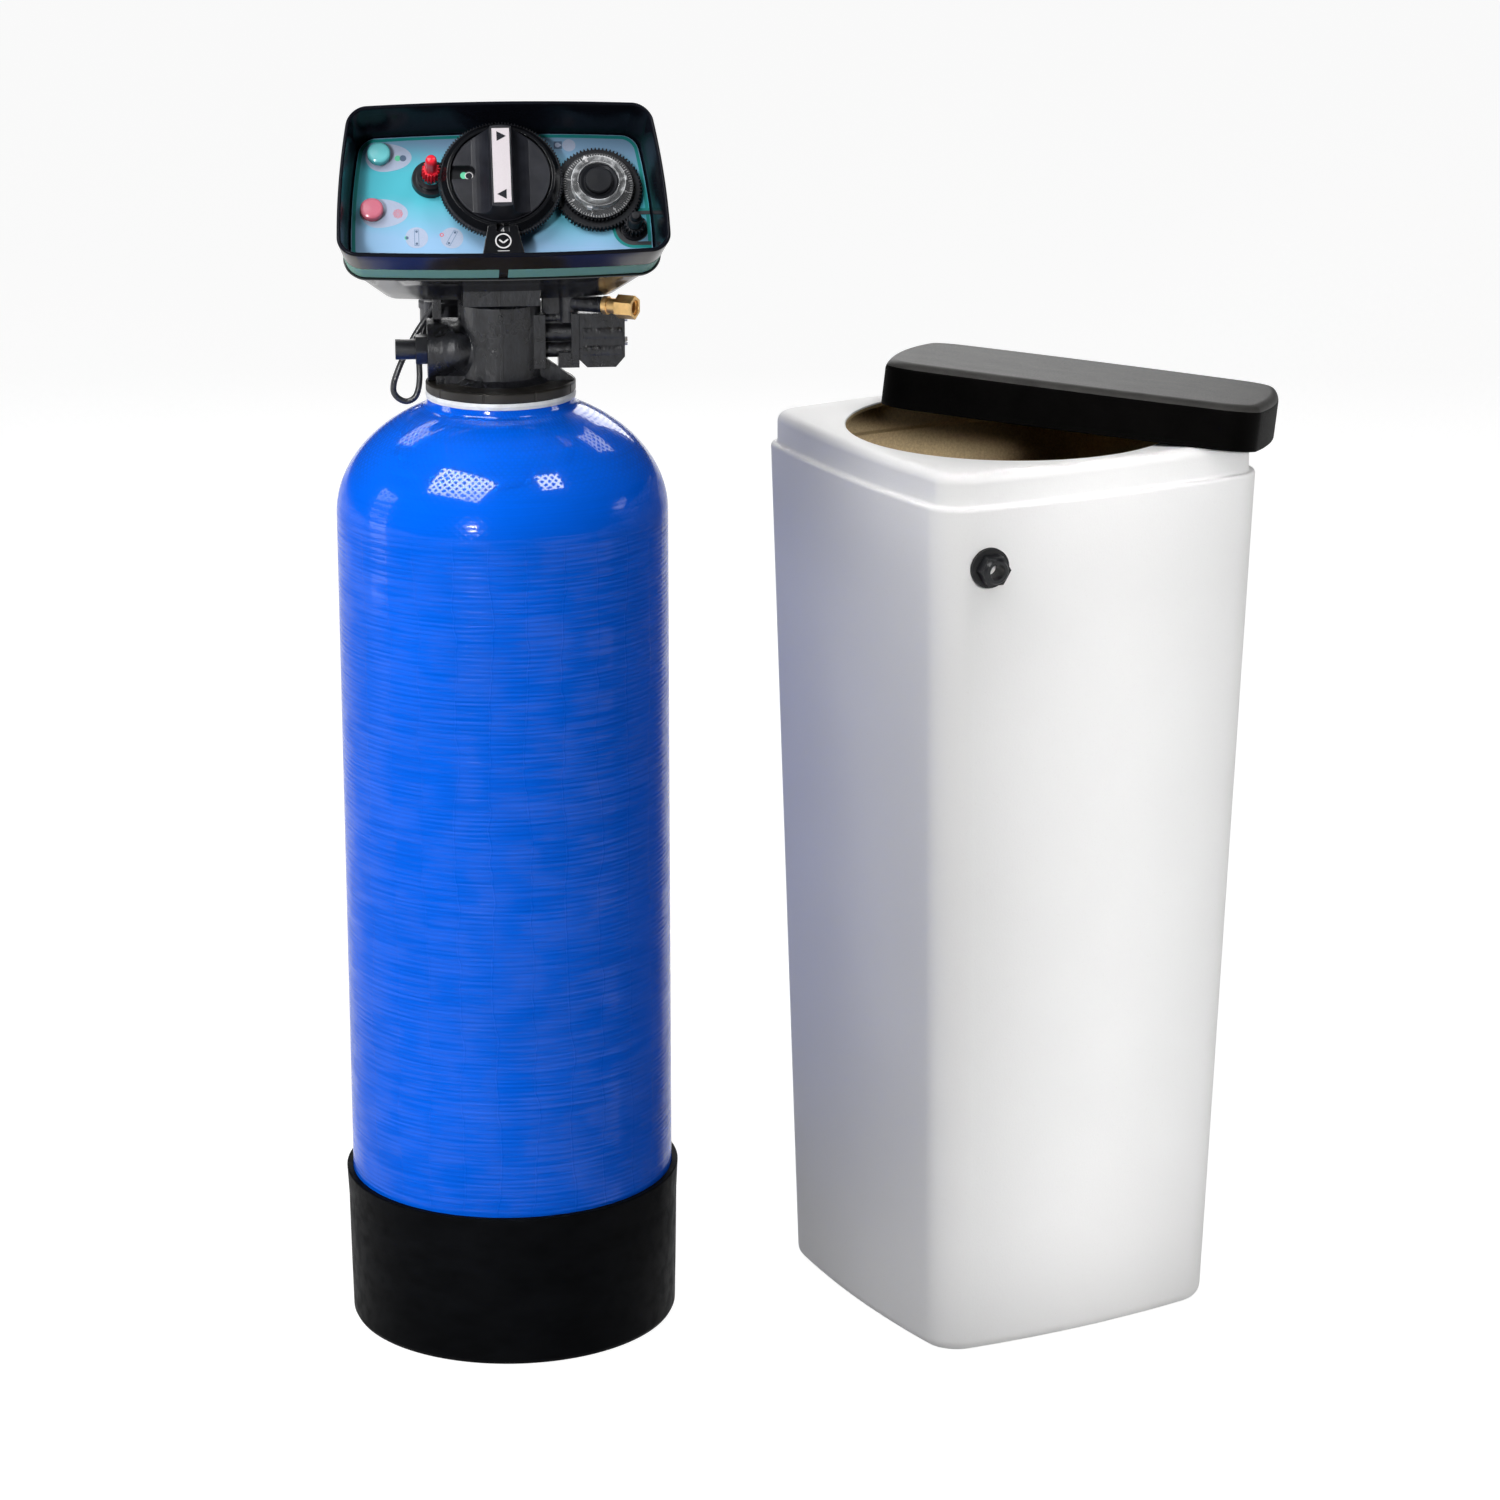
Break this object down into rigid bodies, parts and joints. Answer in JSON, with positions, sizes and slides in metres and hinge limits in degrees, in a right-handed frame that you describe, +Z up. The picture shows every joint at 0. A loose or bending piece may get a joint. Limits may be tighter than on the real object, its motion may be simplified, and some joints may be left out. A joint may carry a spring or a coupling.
{
  "type": "water softener",
  "caption": "Tall wound resin vessel with a geared, clock-driven control valve on its neck, beside a square brine tank with a loose lid.",
  "frame": {"origin": "centre of the vessel's foot, on the floor", "axes": "+Z up along the vessel axis, -Y towards the front where the head faces, +X towards the brine tank"},
  "size_m": [0.7588, 0.4415, 0.989],
  "materials": {
    "vessel_blue": "glossy gel-coated winding",
    "boot_black": "satin moulded",
    "white_plastic": "moulded",
    "resin": "bed of small beads",
    "ivory_plastic": "moulded",
    "grey_plastic": "moulded",
    "ring_brown": "moulded",
    "valve_black": "grained glass-filled moulding",
    "steel": "turned",
    "cable_grey": "smooth sheath",
    "brass": "machined",
    "cover_black": "glossy moulding",
    "panel_blue": "printed film",
    "gear_grey": "moulded teeth",
    "label_white": "printed strip",
    "button_red": "moulded",
    "button_teal": "moulded",
    "clear": "clear moulding",
    "tank_white": "grained rotational moulding",
    "lid_black": "grained moulding",
    "rubber": "moulded seal"
  },
  "bodies": {
    "unit": {"vessel_shell": "vessel_blue", "base_boot": "boot_black", "neck_insert": "white_plastic", "resin_bed": "resin", "riser_tube": "ivory_plastic", "lower_strainer": "grey_plastic", "upper_strainer": "grey_plastic", "adapter_base": "ring_brown", "valve_body": "valve_black", "seal_cage": "white_plastic", "end_plug": "grey_plastic", "yoke_block": "valve_black", "meter_dome": "grey_plastic", "meter_cable": "cable_grey", "cable_gland": "valve_black", "support_strap": "valve_black", "drain_hex": "valve_black", "drain_nut": "valve_black", "injector_body": "valve_black", "injector_cover": "valve_black", "injector_screws": "steel", "brine_valve": "valve_black", "brine_fitting": "brass", "brine_nut": "brass", "front_cover": "cover_black", "rear_cover": "cover_black", "back_plate": "grey_plastic", "control_panel": "panel_blue", "pointer_cover": "cover_black", "cycle_disc": "white_plastic", "time_collar": "cover_black", "wheel_pin": "steel", "meter_collar": "valve_black", "timer_motor": "steel", "brine_tank": "tank_white", "overflow_fitting": "valve_black", "overflow_washer": "rubber", "overflow_nut": "valve_black", "brine_well": "ivory_plastic", "well_cap": "valve_black"},
    "piston": {"piston": "steel"},
    "knob": {"knob": "cover_black", "knob_label": "label_white", "drive_gear": "ivory_plastic"},
    "day_gear": {"day_gear": "gear_grey"},
    "time_shaft": {"time_shaft": "steel"},
    "time_pinion": {"time_pinion": "button_red"},
    "program_wheel": {"program_wheel": "gear_grey", "capacity_dial": "cover_black"},
    "capacity_pointer": {"capacity_pointer": "clear", "pointer_hub": "cover_black", "pointer_cap": "cover_black"},
    "meter_pinion": {"meter_pinion": "valve_black"},
    "green_button": {"green_button": "button_teal"},
    "red_button": {"red_button": "button_red"},
    "tank_lid": {"tank_lid": "lid_black"},
    "float": {"float": "ivory_plastic"}
  },
  "joints": [
    {"name": "piston_stroke", "type": "slide", "parent": "unit", "child": "piston", "axis": [0, 0, 1], "range_m": [0, 0.023]},
    {"name": "knob_turn", "type": "hinge", "parent": "unit", "child": "knob", "pos_m": [0.00573, -0.06546, 0.93289], "axis": [0.0723, -0.8259, 0.5592], "continuous": true},
    {"name": "day_gear_turn", "type": "hinge", "parent": "unit", "child": "day_gear", "pos_m": [0.00544, -0.06216, 0.93065], "axis": [0.0723, -0.8259, 0.5592], "continuous": true},
    {"name": "time_push", "type": "slide", "parent": "unit", "child": "time_shaft", "axis": [-0.0723, 0.8259, -0.5592], "range_m": [0, 0.0074], "stiffness_N_per_m": 200, "springref_m": -0.002},
    {"name": "time_pinion_turn", "type": "hinge", "parent": "time_shaft", "child": "time_pinion", "pos_m": [-0.04687, -0.0588, 0.93522], "axis": [0.0723, -0.8259, 0.5592], "continuous": true},
    {"name": "program_wheel_turn", "type": "hinge", "parent": "unit", "child": "program_wheel", "pos_m": [0.07772, -0.0508, 0.92377], "axis": [0.0723, -0.8259, 0.5592], "continuous": true},
    {"name": "capacity_set", "type": "hinge", "parent": "program_wheel", "child": "capacity_pointer", "pos_m": [0.07816, -0.05576, 0.92713], "axis": [0.0723, -0.8259, 0.5592], "continuous": true},
    {"name": "meter_pinion_turn", "type": "hinge", "parent": "unit", "child": "meter_pinion", "pos_m": [0.10543, -0.06538, 0.89866], "axis": [0.0723, -0.8259, 0.5592], "continuous": true},
    {"name": "green_press", "type": "slide", "parent": "unit", "child": "green_button", "axis": [-0.0723, 0.8259, -0.5592], "range_m": [0, 0.002], "stiffness_N_per_m": 300, "springref_m": -0.001},
    {"name": "red_press", "type": "slide", "parent": "unit", "child": "red_button", "axis": [-0.0723, 0.8259, -0.5592], "range_m": [0, 0.002], "stiffness_N_per_m": 300, "springref_m": -0.001},
    {"name": "lid_lift", "type": "slide", "parent": "unit", "child": "tank_lid", "axis": [0, 0, 1], "range_m": [0, 0.25]},
    {"name": "float_rise", "type": "slide", "parent": "unit", "child": "float", "axis": [0, 0, 1], "range_m": [0, 0.3]}
  ],
  "couplings": [
    {"joint": "time_pinion_turn", "follows": "day_gear_turn", "ratio": -7.5},
    {"joint": "meter_pinion_turn", "follows": "program_wheel_turn", "ratio": -4.5}
  ]
}
